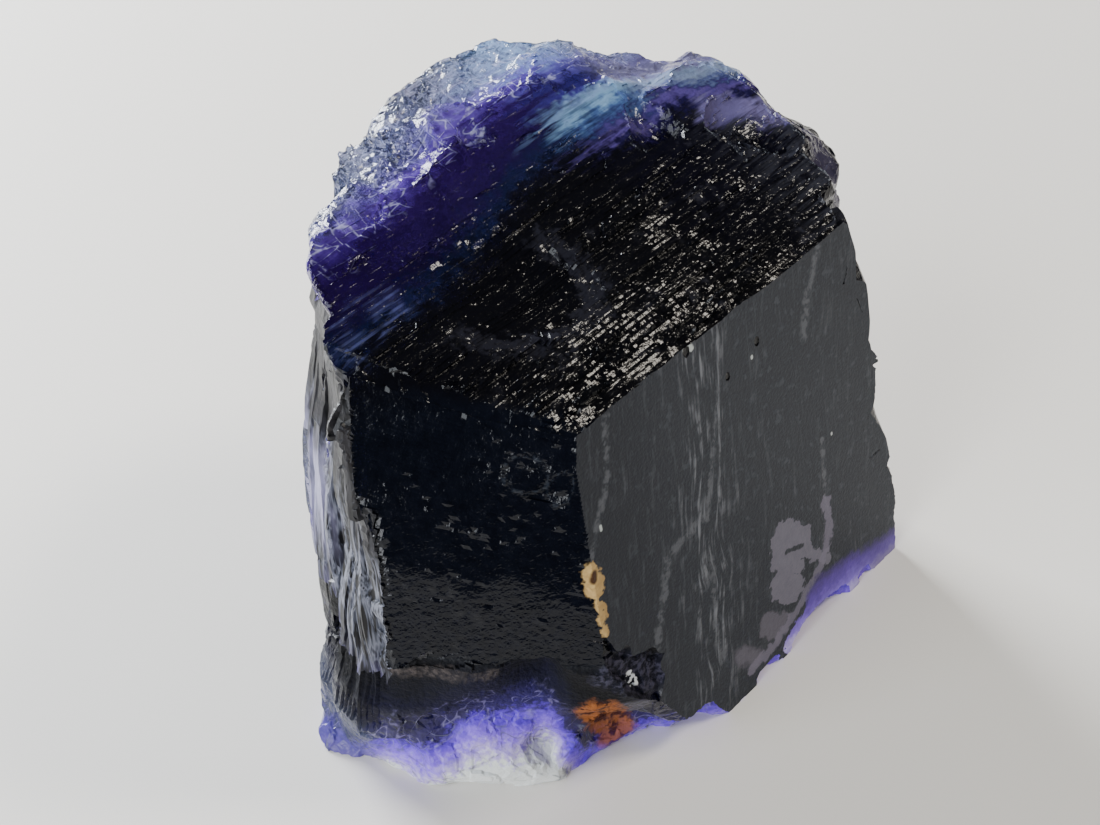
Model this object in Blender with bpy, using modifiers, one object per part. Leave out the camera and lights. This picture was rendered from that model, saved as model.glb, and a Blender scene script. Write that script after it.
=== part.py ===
"""A broken chunk of dark fluorite, one crystal, standing on its broken base.

Run it with: blender --background --python part.py
Lengths are written in millimetres and multiplied by MM, because Blender works in metres.
+X is to the viewer's right, +Y is away from the viewer, +Z is up, and the base is at z = 0.
The shape is made around a handy point under the front of the chunk, and its last step moves it,
so that the origin is at the middle of its base.
"""

import math
import random

import bmesh
import bpy
from mathutils import Matrix, Vector, noise
from mathutils.bvhtree import BVHTree

MM = 0.001
NODE = "fluorite_crystal"
SEED = 7
BLOCK_SIZE = 140.0

# The corner where the top, the front and the right face meet
CORNER = Vector((1.2, -17.0, 30.1))

# Outward directions of the flat faces
TOP_NORMAL = Vector((0.218, -0.194, 0.956)).normalized()
RIGHT_NORMAL = Vector((0.727, -0.646, 0.234)).normalized()
FRONT_NORMAL = Vector((0.0, -0.981, 0.196)).normalized()

# The sloping brow between the top and the front, and how far its two edges are cut back
BROW_NORMAL = Vector((-0.065, -0.877, 0.474)).normalized()
BROW_EASE = 0.35

# The top face's own directions: along the edge that it shares with the right face, and inward from it
EDGE_RUN = TOP_NORMAL.cross(RIGHT_NORMAL).normalized()
INWARD = TOP_NORMAL.cross(EDGE_RUN).normalized()

# Corners of the lumps that the broken chunk is made of. Each lump is the convex hull of its corners.
MAIN_LUMP = (
    (-11.7, -18.4, 37.0), (-11.0, -20.6, 25.0), (-10.6, -21.3, 13.9), (5.4, -21.2, 13.9), (5.0, -20.0, 33.0),
    (-14.9, -7.7, 36.2), (-16.2, -5.0, 24.0), (-17.3, -4.5, 14.0), (-17.4, -5.0, 6.5), (-15.8, -9.0, 3.0),
    (-11.0, -18.8, 5.5), (2.6, -18.8, 5.5), (9.4, -17.8, 7.0), (14.6, -14.2, -1.5), (28.8, 0.2, -1.5),
    (28.0, 1.4, 3.0), (25.0, 2.2, 9.0), (24.2, 2.4, 16.0), (22.2, 4.0, 25.0), (19.0, 2.7, 31.8),
    (-11.9, -5.0, 36.0), (-7.1, 1.0, 36.2), (-4.7, 6.5, 36.6), (3.4, 10.2, 35.6), (10.4, 10.6, 34.2),
    (18.8, 9.4, 32.2), (20.0, 9.0, 20.0), (18.0, 9.0, -1.5), (-9.0, 8.5, -1.5), (-14.0, 1.0, -1.5),
    (-14.6, 5.0, 20.0), (5.0, 11.0, 18.0),
)
RIM_LUMP = (
    (-15.7, -1.8, 35.0), (-13.3, 3.4, 35.3), (-12.8, 7.8, 35.6), (-11.0, 12.6, 36.0), (-7.8, 17.2, 36.2),
    (-4.3, 19.9, 36.0), (2.2, 20.2, 34.8), (11.2, 20.9, 33.0), (14.2, 19.6, 32.2), (16.8, 15.4, 31.0),
    (-14.9, -7.7, 36.2), (-11.9, -5.0, 36.0), (-7.1, 1.0, 36.2), (-4.7, 6.5, 36.6), (-0.3, 11.9, 36.7),
    (10.4, 11.4, 34.2), (16.2, 12.5, 33.1), (-13.0, -4.0, 22.0), (-9.0, 6.0, 22.0), (0.0, 9.0, 21.0),
    (11.0, 9.5, 21.0), (14.5, 8.0, 21.0),
)
RIGHT_LUMP = (
    (15.6, 16.0, 31.0), (19.4, 15.9, 30.4), (21.8, 13.8, 29.2), (21.3, 8.0, 28.6), (16.2, 12.5, 32.6),
    (18.8, 9.0, 31.8), (13.0, 12.0, 28.0), (16.0, 8.0, 20.0), (18.6, 7.0, 20.0), (21.0, 5.2, 26.0),
)
FOOT_LUMP = (
    (-16.7, -12.8, 2.0), (-16.4, -15.7, 1.4), (-15.6, -14.6, -1.5), (-14.8, -18.9, 0.8), (-14.0, -17.8, -1.5),
    (-11.9, -20.3, 1.0), (-11.4, -19.2, -1.5), (-4.2, -21.7, 1.2), (-4.2, -20.6, -1.5), (0.9, -21.3, 1.2),
    (0.6, -20.2, -1.5), (6.2, -18.4, 1.0), (5.6, -17.4, -1.5), (9.6, -16.8, 1.6), (9.0, -15.2, -1.5),
    (-16.4, -9.0, 4.0), (-15.4, -15.6, 9.0), (-12.4, -19.4, 9.0), (-8.0, -19.6, 5.0), (2.0, -19.4, 5.0),
    (12.0, -10.0, 3.0),
)
LUMPS = (MAIN_LUMP, RIM_LUMP, RIGHT_LUMP, FOOT_LUMP)

# The crumpled knob at the back left corner of the top
KNOB_CENTRE = Vector((-12.0, 4.0, 34.8))
KNOB_RADIUS = 2.3

# Growth steps on the top face. FRONT_SLANT is how far the face's front edge falls back for each mm inward.
# Each band is (name, from and to along the run, from and to inward, how many, lengths, widths, heights).
FRONT_SLANT = 0.51
STEP_BANDS = (
    ("terrace", 0.4, 15.0, 3.6, 10.5, 13, (4.0, 9.0), (1.2, 2.6), (0.12, 0.30)),
    ("far_terrace", 6.0, 24.0, 10.0, 18.5, 14, (4.0, 10.0), (0.8, 1.9), (0.12, 0.28)),
    ("right_terrace", 18.0, 28.0, 3.0, 11.0, 9, (3.0, 6.0), (0.8, 1.8), (0.12, 0.28)),
    ("scale", 0.8, 20.0, 0.7, 3.6, 26, (1.3, 3.6), (0.40, 0.85), (0.20, 0.46)),
    ("ridge", 17.0, 26.0, 6.6, 10.4, 8, (1.2, 2.4), (0.45, 0.90), (0.20, 0.40)),
    ("left_bar", 0.4, 2.2, 11.6, 14.8, 6, (2.4, 3.4), (0.28, 0.40), (0.18, 0.28)),
    ("speck", 1.0, 24.0, 3.0, 16.0, 12, (0.8, 1.6), (0.35, 0.60), (0.18, 0.36)),
)
STEP_ROOT = 0.5
STEP_LEAN = math.radians(6)
STEP_TURN = math.radians(5)
STEP_SKEW = 0.7
STEP_NARROWEST = 0.6

# The shallow oval hollow in the top face: where it is, how long and wide, how deep, and how it is turned
HOLLOW_RUN = 5.3
HOLLOW_INWARD = 10.2
HOLLOW_LENGTH = 11.0
HOLLOW_WIDTH = 8.8
HOLLOW_DEPTH = 0.65
HOLLOW_TURN = math.radians(-37)

# Hollows are cut by flattened balls of this height, with bumps in them
HOLLOW_BALL = 3.0
HOLLOW_BUMPS = 3.0
HOLLOW_ROUGHNESS = 0.12

# Small broken hollows, as (centre, outward direction, length, width, depth)
PITS = (
    ((-1.5, -17.6, 28.2), (-0.03, -0.93, 0.36), 3.6, 2.5, 0.50),
    ((-0.2, -17.9, 26.0), (0.0, -0.98, 0.2), 3.2, 2.0, 0.45),
    ((-4.8, -17.2, 29.6), (-0.05, -0.88, 0.47), 3.0, 2.0, 0.40),
    ((20.7, 3.0, 25.2), (0.80, -0.50, 0.20), 1.6, 1.4, 0.60),
    ((20.4, -5.6, 0.3), (0.70, -0.64, 0.0), 7.0, 2.6, 0.90),
    ((24.4, -2.0, 0.4), (0.75, -0.60, 0.0), 3.4, 2.2, 0.60),
    ((16.3, -10.8, 0.2), (0.70, -0.70, 0.0), 3.6, 2.0, 0.55),
)

# Splinters on the left side: they lie along the front left edge
SPLINTER_TOP = Vector((-12.1, -16.4, 33.2))
SPLINTER_FOOT = Vector((-10.8, -20.2, 14.1))
SIDE_NORMAL = Vector((-0.92, -0.39, 0.0)).normalized()
SPLINTERS = 48
SPLINTER_REACH = 17.0
SPLINTER_LENGTHS = (8.0, 21.0)
SPLINTER_WIDTHS = (0.9, 2.0)
SPLINTER_HEIGHTS = (0.30, 0.65)
SPLINTER_TIP = 0.30
SPLINTER_ROOT = 1.4
SPLINTER_LEAN = math.radians(14)
SIDE_LENGTH = 29.0
SIDE_FACING = 0.6
SIDE_CLEAR = 10.0

# Broken surfaces: the lumps are joined, pushed in and out into flat facets, and then made of fewer faces
LUMP_VOXEL = 0.7
CHUNK_VOXEL = 0.6
FACE_SHARE = 0.085
FACET_SIZE = 4.6
FACET_DEPTH = 1.25
FACET_SLOPE = 1.6
FACET_LEVEL = 0.8
GRAIN_SIZE = 2.2
GRAIN_DEPTH = 0.35
SLOPE_MIX = 91.7
LEVEL_MIX = 57.3
THIN_RIM_FROM = 11.0
THIN_RIM_SHARE = 0.55
SHORTEST_EDGE = 0.005


def clear_scene():
    for obj in list(bpy.data.objects):
        bpy.data.objects.remove(obj)


def collection(name):
    made = bpy.data.collections.new(name)
    bpy.context.scene.collection.children.link(made)
    return made


def add_object(name, bm, where):
    mesh = bpy.data.meshes.new(name)
    bm.to_mesh(mesh)
    bm.free()
    obj = bpy.data.objects.new(name, mesh)
    where.objects.link(obj)
    return obj


def as_helper(obj):
    obj.hide_render = True
    obj.display_type = "WIRE"
    return obj


def evaluated_bmesh(obj):
    graph = bpy.context.evaluated_depsgraph_get()
    bm = bmesh.new()
    bm.from_object(obj, graph)
    return bm


def hull_into(bm, corners):
    """Adds the convex hull of the corners, in millimetres, to bm."""
    points = [bm.verts.new(Vector(c) * MM) for c in corners]
    made = bmesh.ops.convex_hull(bm, input=points)
    unused = [g for g in made["geom_interior"] if isinstance(g, bmesh.types.BMVert)]
    bmesh.ops.delete(bm, geom=unused, context="VERTS")


def cut(bm, point, normal):
    """Cuts away what lies outside a plane, and closes the cut."""
    geometry = bm.verts[:] + bm.edges[:] + bm.faces[:]
    made = bmesh.ops.bisect_plane(
        bm, geom=geometry, plane_co=Vector(point) * MM, plane_no=normal, clear_outer=True)
    rim = [g for g in made["geom_cut"] if isinstance(g, bmesh.types.BMEdge)]
    bmesh.ops.edgeloop_fill(bm, edges=rim)


def flat_faces(helpers):
    """A large block bounded by the crystal's flat faces and the table."""
    bm = bmesh.new()
    bmesh.ops.create_cube(bm, size=BLOCK_SIZE * MM)
    cut(bm, CORNER, TOP_NORMAL)
    cut(bm, CORNER, RIGHT_NORMAL)
    cut(bm, CORNER, FRONT_NORMAL)
    cut(bm, CORNER, BROW_NORMAL)
    for neighbour in (TOP_NORMAL, FRONT_NORMAL):
        between = (BROW_NORMAL + neighbour).normalized()
        cut(bm, CORNER - between * BROW_EASE, between)
    cut(bm, (0, 0, 0), Vector((0, 0, -1)))
    return as_helper(add_object("flat_faces", bm, helpers))


def facet_offset(point, size, depth):
    """Height of a broken surface: each cell of a Voronoi pattern is a flat facet with its own slope."""
    centre = noise.voronoi(point / size)[1][0]
    slope = noise.cell_vector(centre * SLOPE_MIX) - Vector((0.5, 0.5, 0.5))
    level = noise.cell(centre * LEVEL_MIX) - 0.5
    return depth * (FACET_SLOPE * slope.dot(point / size - centre) + FACET_LEVEL * level)


def rough_chunk(helpers, where):
    """The chunk with its broken surfaces, before the flat faces are cut."""
    bm = bmesh.new()
    for corners in LUMPS:
        hull_into(bm, corners)
    bmesh.ops.create_icosphere(
        bm, subdivisions=2, radius=KNOB_RADIUS * MM, matrix=Matrix.Translation(KNOB_CENTRE * MM))
    lumps = as_helper(add_object("lumps", bm, helpers))
    remesh = lumps.modifiers.new("join lumps", "REMESH")
    remesh.mode = "VOXEL"
    remesh.voxel_size = LUMP_VOXEL * MM
    bm = evaluated_bmesh(lumps)
    bmesh.ops.smooth_vert(bm, verts=bm.verts, factor=0.5, use_axis_x=True, use_axis_y=True, use_axis_z=True)
    bm.normal_update()
    moves = []
    for vertex in bm.verts:
        point = vertex.co / MM
        depth = facet_offset(point, FACET_SIZE, FACET_DEPTH)
        depth += GRAIN_DEPTH * noise.noise(point / GRAIN_SIZE)
        if point.y > THIN_RIM_FROM:
            depth *= THIN_RIM_SHARE
        moves.append(vertex.normal * depth * MM)
    for vertex, move in zip(bm.verts, moves):
        vertex.co += move
    chunk = add_object(NODE, bm, where)
    again = chunk.modifiers.new("clean folds", "REMESH")
    again.mode = "VOXEL"
    again.voxel_size = CHUNK_VOXEL * MM
    fewer = chunk.modifiers.new("flat facets", "DECIMATE")
    fewer.ratio = FACE_SHARE
    return chunk


def block_into(bm, frame, size, tip, skew):
    """Adds a slanted block: frame is its own axes and middle, size its three lengths, in millimetres."""
    made = bmesh.ops.create_cube(bm, size=1)
    for vertex in made["verts"]:
        x, y, z = (a * b for a, b in zip(vertex.co, size))
        if vertex.co.x > 0:
            y *= tip
        vertex.co = (x + skew * y, y, z)
    bmesh.ops.transform(bm, matrix=Matrix.Scale(MM, 4) @ frame, verts=made["verts"])


def sliver_into(bm, frame, size, tip):
    """Adds a long block whose two ends get narrower and sink, as a splinter's do."""
    bmesh.ops.create_cube(bm, size=1)
    lengthwise = [e for e in bm.edges if e.verts[0].co.x != e.verts[1].co.x]
    bmesh.ops.bisect_edges(bm, edges=lengthwise, cuts=1)
    bmesh.ops.connect_verts(bm, verts=[v for v in bm.verts if v.co.x == 0])
    length, width, thickness = size
    for vertex in bm.verts:
        at_end = vertex.co.x != 0
        y = vertex.co.y * width * (tip if at_end else 1.0)
        z = vertex.co.z * thickness
        if at_end and vertex.co.z > 0:
            z = 0.0
        vertex.co = (vertex.co.x * length, y, z)
    bmesh.ops.transform(bm, matrix=Matrix.Scale(MM, 4) @ frame, verts=bm.verts)


def axes(along, across, up, middle):
    """The matrix with these three directions as its axes."""
    turned = Matrix((along, across, up)).transposed().to_4x4()
    return Matrix.Translation(middle) @ turned


def growth_steps(where):
    rng = random.Random(SEED)
    count = 0
    for name, run_from, run_to, in_from, in_to, how_many, lengths, widths, heights in STEP_BANDS:
        for _ in range(how_many):
            length = rng.uniform(*lengths)
            width = rng.uniform(*widths)
            height = rng.uniform(*heights)
            inward = rng.uniform(in_from, in_to)
            run = rng.uniform(run_from, run_to) - FRONT_SLANT * inward + length / 2
            middle = CORNER + EDGE_RUN * run + INWARD * inward + TOP_NORMAL * (height - STEP_ROOT) / 2
            frame = axes(EDGE_RUN, INWARD, TOP_NORMAL, middle)
            frame = frame @ Matrix.Rotation(rng.uniform(-STEP_LEAN, STEP_LEAN), 4, "X")
            frame = frame @ Matrix.Rotation(rng.uniform(-STEP_TURN, STEP_TURN), 4, "Z")
            bm = bmesh.new()
            size = (length, width, height + STEP_ROOT)
            block_into(bm, frame, size, rng.uniform(STEP_NARROWEST, 1), rng.choice((-STEP_SKEW, STEP_SKEW)))
            as_helper(add_object(f"{name}_{count}", bm, where))
            count += 1


def ball_cutter(name, where, frame, length, width, depth):
    """A flattened ball that cuts a hollow of this length, width and depth at the frame's middle."""
    across = math.sqrt(1 - ((HOLLOW_BALL - depth) / HOLLOW_BALL) ** 2)
    bm = bmesh.new()
    bmesh.ops.create_icosphere(bm, subdivisions=3, radius=1)
    for vertex in bm.verts:
        vertex.co *= 1 + HOLLOW_ROUGHNESS * noise.noise(vertex.co * HOLLOW_BUMPS + frame.translation)
    stretch = Matrix.Diagonal((length / 2 / across, width / 2 / across, HOLLOW_BALL, 1))
    raised = Matrix.Translation((0, 0, HOLLOW_BALL - depth))
    bmesh.ops.transform(bm, matrix=Matrix.Scale(MM, 4) @ frame @ raised @ stretch, verts=bm.verts)
    as_helper(add_object(name, bm, where))


def hollows(where):
    middle = CORNER + EDGE_RUN * HOLLOW_RUN + INWARD * HOLLOW_INWARD
    frame = axes(EDGE_RUN, INWARD, TOP_NORMAL, middle) @ Matrix.Rotation(HOLLOW_TURN, 4, "Z")
    ball_cutter("oval_hollow", where, frame, HOLLOW_LENGTH, HOLLOW_WIDTH, HOLLOW_DEPTH)
    for number, (centre, outward, length, width, depth) in enumerate(PITS):
        up = Vector(outward).normalized()
        along = (EDGE_RUN - up * EDGE_RUN.dot(up)).normalized()
        frame = axes(along, up.cross(along), up, Vector(centre))
        ball_cutter(f"pit_{number}", where, frame, length, width, depth)


def splinters(where, chunk):
    """Long slivers that stand a little above the chunk's own surface on its left side."""
    rng = random.Random(SEED + 1)
    surface = BVHTree.FromBMesh(evaluated_bmesh(chunk))
    down = (SPLINTER_FOOT - SPLINTER_TOP).normalized()
    back = down.cross(SIDE_NORMAL).normalized()
    for number in range(SPLINTERS):
        reach = SPLINTER_REACH * (number + rng.random()) / SPLINTERS
        length = rng.uniform(*SPLINTER_LENGTHS)
        width = rng.uniform(*SPLINTER_WIDTHS)
        height = rng.uniform(*SPLINTER_HEIGHTS)
        lean = rng.uniform(-SPLINTER_LEAN, SPLINTER_LEAN)
        along = rng.uniform(length / 2, SIDE_LENGTH - length / 2)
        ends = []
        for step in (-length / 2, length / 2):
            start = SPLINTER_TOP + down * (along + step) + back * reach + SIDE_NORMAL * SIDE_CLEAR
            hit, facing = surface.ray_cast(start * MM, -SIDE_NORMAL)[:2]
            if hit is not None and facing.dot(SIDE_NORMAL) > SIDE_FACING:
                ends.append(hit / MM)
        if len(ends) < 2:
            continue
        run = (ends[1] - ends[0]).normalized()
        across = SIDE_NORMAL.cross(run).normalized()
        up = run.cross(across)
        middle = (ends[0] + ends[1]) / 2 + up * (height - SPLINTER_ROOT) / 2
        frame = axes(run, across, up, middle) @ Matrix.Rotation(lean, 4, "X")
        bm = bmesh.new()
        sliver_into(bm, frame, (length, width, height + SPLINTER_ROOT), SPLINTER_TIP)
        as_helper(add_object(f"splinter_{number}", bm, where))


def boolean(obj, name, operation, operand):
    modifier = obj.modifiers.new(name, "BOOLEAN")
    modifier.operation = operation
    modifier.solver = "EXACT"
    if isinstance(operand, bpy.types.Collection):
        modifier.operand_type = "COLLECTION"
        modifier.collection = operand
    else:
        modifier.object = operand
    return modifier


def fluorite_material():
    material = bpy.data.materials.new("fluorite")
    material.use_nodes = True
    shader = material.node_tree.nodes["Principled BSDF"]
    shader.inputs["Base Color"].default_value = (0.030, 0.018, 0.085, 1.0)
    shader.inputs["Roughness"].default_value = 0.25
    shader.inputs["Metallic"].default_value = 0.0
    return material


def shell_around(vertex):
    """All the vertices that are joined to this one by edges."""
    found = {vertex}
    waiting = [vertex]
    while waiting:
        for edge in waiting.pop().link_edges:
            for other in edge.verts:
                if other not in found:
                    found.add(other)
                    waiting.append(other)
    return found


def finish(crystal):
    """Settles the crystal's mesh at the origin, without the tiny bubbles that its joined pieces enclose."""
    bm = evaluated_bmesh(crystal)
    shells = []
    left = set(bm.verts)
    while left:
        shell = shell_around(left.pop())
        left -= shell
        shells.append(shell)
    shells.sort(key=len)
    bubbles = [vertex for shell in shells[:-1] for vertex in shell]
    bmesh.ops.delete(bm, geom=bubbles, context="VERTS")
    bmesh.ops.dissolve_degenerate(bm, dist=SHORTEST_EDGE * MM, edges=bm.edges)
    low = Vector([min(v.co[axis] for v in bm.verts) for axis in range(3)])
    high = Vector([max(v.co[axis] for v in bm.verts) for axis in range(3)])
    middle = (low + high) / 2
    bmesh.ops.translate(bm, vec=(-middle.x, -middle.y, 0), verts=bm.verts)
    bm.to_mesh(crystal.data)
    bm.free()
    crystal.modifiers.clear()


def main():
    clear_scene()
    specimen = collection("fluorite_specimen")
    helpers = collection("helpers")
    raised = collection("raised")
    carved = collection("carved")
    crystal = rough_chunk(helpers, specimen)
    splinters(raised, crystal)
    growth_steps(raised)
    hollows(carved)
    boolean(crystal, "flat faces", "INTERSECT", flat_faces(helpers))
    boolean(crystal, "steps and splinters", "UNION", raised)
    boolean(crystal, "hollows", "DIFFERENCE", carved)
    crystal.data.materials.append(fluorite_material())
    finish(crystal)


main()
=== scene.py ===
"""The finish of a broken chunk of dark fluorite: its fine relief, its colour zones and its studio.

Lengths are in millimetres and multiplied by MM, because Blender works in metres.
+X is to the viewer's right, +Y is away from the viewer, +Z is up.
"""

import math

import bmesh
import bpy
from mathutils import Matrix, Vector, noise
from mathutils.bvhtree import BVHTree


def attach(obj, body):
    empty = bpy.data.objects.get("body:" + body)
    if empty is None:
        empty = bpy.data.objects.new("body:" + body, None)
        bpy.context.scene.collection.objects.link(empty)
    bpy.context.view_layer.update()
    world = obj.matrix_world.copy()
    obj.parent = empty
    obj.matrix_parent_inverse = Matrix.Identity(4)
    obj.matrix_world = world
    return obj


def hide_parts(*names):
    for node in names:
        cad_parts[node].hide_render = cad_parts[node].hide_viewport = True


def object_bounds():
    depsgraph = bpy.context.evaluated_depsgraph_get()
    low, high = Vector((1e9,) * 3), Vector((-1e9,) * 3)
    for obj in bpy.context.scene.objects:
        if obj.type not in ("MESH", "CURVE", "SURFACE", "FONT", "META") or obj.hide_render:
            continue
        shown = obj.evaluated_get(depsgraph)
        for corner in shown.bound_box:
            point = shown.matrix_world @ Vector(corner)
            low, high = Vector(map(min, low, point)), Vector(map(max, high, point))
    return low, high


MM = 0.001
NODE = "fluorite_crystal"
UP = Vector((0.0, 0.0, 1.0))

# The corner where the top, the front and the right face meet, and the way those faces look
CORNER = Vector((-3.684, -16.472, 30.1))
TOP_NORMAL = Vector((0.218, -0.194, 0.956)).normalized()
RIGHT_NORMAL = Vector((0.727, -0.646, 0.234)).normalized()
FRONT_NORMAL = Vector((0.0, -0.981, 0.196)).normalized()
SIDE_NORMAL = Vector((-0.92, -0.39, 0.0)).normalized()

# On the top: along its edge with the right face, and inward from it. On the right face: along, and down.
EDGE_RUN = TOP_NORMAL.cross(RIGHT_NORMAL).normalized()
INWARD = TOP_NORMAL.cross(EDGE_RUN).normalized()
RIGHT_DOWN = EDGE_RUN.cross(RIGHT_NORMAL).normalized()

# On the front: along its edge with the top, and up
FRONT_RUN = TOP_NORMAL.cross(FRONT_NORMAL).normalized()
FRONT_RISE = FRONT_NORMAL.cross(FRONT_RUN).normalized()

# On the left side: down along its splinters, and forward across them
SIDE_TOP = Vector((-16.984, -15.872, 33.2))
SIDE_DOWN = Vector((1.3, -3.8, -19.1)).normalized()
SIDE_DOWN = (SIDE_DOWN - SIDE_NORMAL * SIDE_DOWN.dot(SIDE_NORMAL)).normalized()
SIDE_FORWARD = SIDE_NORMAL.cross(SIDE_DOWN).normalized()

# How far inward the fine bars of the top reach, how long the splinters are, how far forward they are free
# of the front, how high the front ends, and the heights between which the ledge under it is worn smooth
TOP_REACH = 11.5
SIDE_LENGTH = 27.0
SIDE_FREE = -8.0
FRONT_FOOT = 11.9
LEDGE = (7.6, 12.4)
LEDGE_ROUNDS = 150

# The oval hollow of the top: its middle along and inward, half its length and width, and its turn
OVAL = (5.3, 10.2)
OVAL_HALF = (5.5, 4.4)
OVAL_TURN = math.radians(-37)

# Bands of the top with small tilted steps: start and end (along, inward), reach, share of shining steps
GLINT_BANDS = (
    ((-0.5, 0.4), (28.5, 0.5), 1.0, 0.35), ((0.2, 0.8), (4.5, 2.2), 2.0, 0.8),
    ((7.0, 1.6), (9.0, 1.4), 1.0, 0.4), ((9.5, 2.4), (15.5, 3.1), 1.9, 0.85),
    ((5.5, 4.9), (11.0, 4.3), 1.3, 0.8), ((14.5, 4.2), (19.5, 4.4), 1.2, 0.5),
    ((16.3, 6.2), (18.3, 9.0), 1.6, 0.7), ((18.5, 9.2), (22.0, 10.8), 1.1, 0.4),
    ((24.0, 9.6), (25.5, 5.4), 1.1, 0.2))

# Where lilac bars lie on the top, at its left end, and how wide they are
LILAC_BARS = (CORNER + EDGE_RUN * -5.4 + INWARD * 13.6, CORNER + EDGE_RUN * -1.8 + INWARD * 13.9)
LILAC_STEP = 0.24

# Rings on the front: middle along and up, half width and half height
FRONT_RINGS = ((-2.0, -3.2, 1.35, 1.35), (0.3, -3.7, 0.75, 1.35))

# The clear crumpled knob of the far rim, and the notch beside it
KNOB = Vector((-16.9, 4.5, 34.8))
NOTCH = Vector((-19.6, 1.6, 35.2))

# Small chips of the right face: place along and down, and radius
CHIPS = ((17.9, 3.6, 0.42), (14.6, 4.4, 0.38), (27.9, 4.9, 0.45), (11.1, 0.3, 0.5))

# Other marks of the right face: a path of points (along, down), its width, and the soft share of that
VEINS = (
    (((14.3, 1.9), (12.9, 6.6), (11.6, 10.4), (10.5, 13.6)), 0.34, 0.9),
    (((10.5, 13.2), (7.9, 13.5), (6.3, 13.8), (5.5, 15.9), (3.7, 20.1)), 0.55, 0.8),
    (((3.2, 0.2), (2.3, 4.6), (0.9, 6.9), (-0.3, 9.1)), 0.40, 0.9),
    (((25.4, 0.2), (23.6, 3.4), (22.7, 6.2)), 0.60, 0.9),
    (((10.4, 17.0), (9.6, 23.0), (9.8, 26.0)), 0.45, 0.9),
    (((23.4, 15.5), (23.1, 21.5)), 0.30, 0.9))
PALE_PATCH = (
    (((17.9, 20.7), (19.5, 22.4)), 1.65, 0.10), (((16.9, 22.0), (19.2, 24.2)), 0.85, 0.20),
    (((20.0, 23.2), (22.6, 25.9)), 0.60, 0.25), (((16.9, 24.3), (18.2, 25.6)), 1.35, 0.12))
PATCH_SLIT = ((((18.1, 22.0), (19.9, 22.7)), 0.26, 0.5),)
FAINT_PATCH = ((((15.0, 26.6), (16.2, 27.8)), 1.25, 0.3), (((11.6, 27.0), (13.2, 28.6)), 1.1, 0.8))
LOWER_RIM = (
    (((23.1, 20.8), (23.1, 23.5), (21.9, 25.6), (20.4, 26.9), (18.1, 27.9), (15.4, 29.0), (12.6, 29.2)),
     0.62, 0.5),)
VIOLET_SLIVER = (
    (((17.2, 30.2), (20.2, 29.0)), 1.05, 0.2), (((21.2, 28.4), (25.0, 29.2)), 2.1, 0.35),
    (((25.0, 29.6), (32.0, 31.2)), 2.3, 0.55))

# Colour zones, by depth behind the right face, at the near and the far end of the top
ZONES_DEEP = 25.0
NEAR_ZONES = (
    (0.0, (5, 5, 8)), (13.6, (6, 6, 12)), (14.5, (7, 7, 20)), (15.1, (12, 18, 44)), (15.8, (14, 11, 44)),
    (16.4, (17, 5, 44)), (18.9, (24, 4, 58)), (19.9, (50, 24, 104)), (20.8, (92, 62, 164)),
    (21.8, (116, 102, 192)), (22.8, (116, 116, 178)), (23.8, (126, 136, 176)), (25.0, (146, 156, 188)))
FAR_ZONES = (
    (0.0, (5, 5, 8)), (12.5, (8, 7, 20)), (13.3, (26, 20, 60)), (14.0, (80, 66, 130)), (14.7, (46, 44, 94)),
    (15.5, (70, 98, 146)), (16.3, (122, 164, 198)), (17.0, (124, 156, 196)), (17.8, (50, 42, 116)),
    (19.1, (20, 11, 72)), (20.4, (80, 68, 160)), (21.4, (112, 126, 200)), (22.7, (148, 178, 218)),
    (25.0, (144, 178, 228)))
CLEAR_ZONES = (
    (0.0, 0.0), (13.0, 0.0), (15.0, 0.16), (18.6, 0.18),
    (20.2, 0.42), (21.5, 0.60), (23.2, 0.80), (25.0, 0.88))

# The foot's colours, whose bright violet band is partly painted glow, and how clear it is, by height
FOOT_TOP = 14.0
FOOT_COLOURS_WITH_GLOW = (
    (0.0, (252, 254, 252)), (2.7, (246, 250, 248)), (3.4, (206, 190, 248)), (4.8, (150, 110, 255)),
    (6.2, (104, 62, 226)), (7.4, (44, 34, 94)), (9.6, (16, 15, 40)), (12.0, (8, 9, 22)), (14.0, (6, 6, 10)))
FOOT_CLEAR = ((0.0, 0.12), (3.0, 0.20), (6.0, 0.25), (8.2, 0.10), (10.6, 0.0), (14.0, 0.0))

# Fine mesh: voxel, share of its faces that stay, and the angle and the distance that count as nothing
SURFACE_VOXEL = 0.17
FACE_SHARE = 0.14
FLAT = math.radians(0.5)
MERGE = 0.001

# Sheets: how far they stay clear of what they don't cut, how far their margins reach, and the steps at
# which they look for a face beside them. PUSH is how far a face that a sheet cuts moves out before that.
CLEAR = 1.0
FAR = 80.0
LOOK_STEPS = (0.3, 0.6, 0.9, 1.2, 1.6)
LOWEST = -1.0
PUSH = 0.15

# Light bends in fluorite by this much
FLUORITE_IOR = 1.434

# Camera
LENS = 60.0
SENSOR = 36.0
ELEVATION = math.radians(44.0)
DISTANCE = 132.0
AIM = Vector((-4.884, 0.528, 16.0))


def rise(value, low, high):
    """0 below low, 1 above high, and a smooth rise between them."""
    t = min(max((value - low) / (high - low), 0.0), 1.0)
    return t * t * (3 - 2 * t)


def chance(a, b, c):
    """A number from 0 to 1 that always is the same for the same three keys."""
    return 0.5 + 0.5 * noise.cell(Vector((a * 7.31 + 0.5, b * 5.17 + 0.5, c * 3.73 + 0.5)))


def drawn(centre, seed):
    """A number from 0 to 1 that belongs to the tile with this centre."""
    return 0.5 + 0.5 * noise.cell(centre * seed)


def tile(point):
    """The centre of the irregular tile that the point lies in, and three numbers that belong to it."""
    centre = noise.voronoi(point)[1][0]
    return centre, noise.cell_vector(centre * 91.7)


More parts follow.
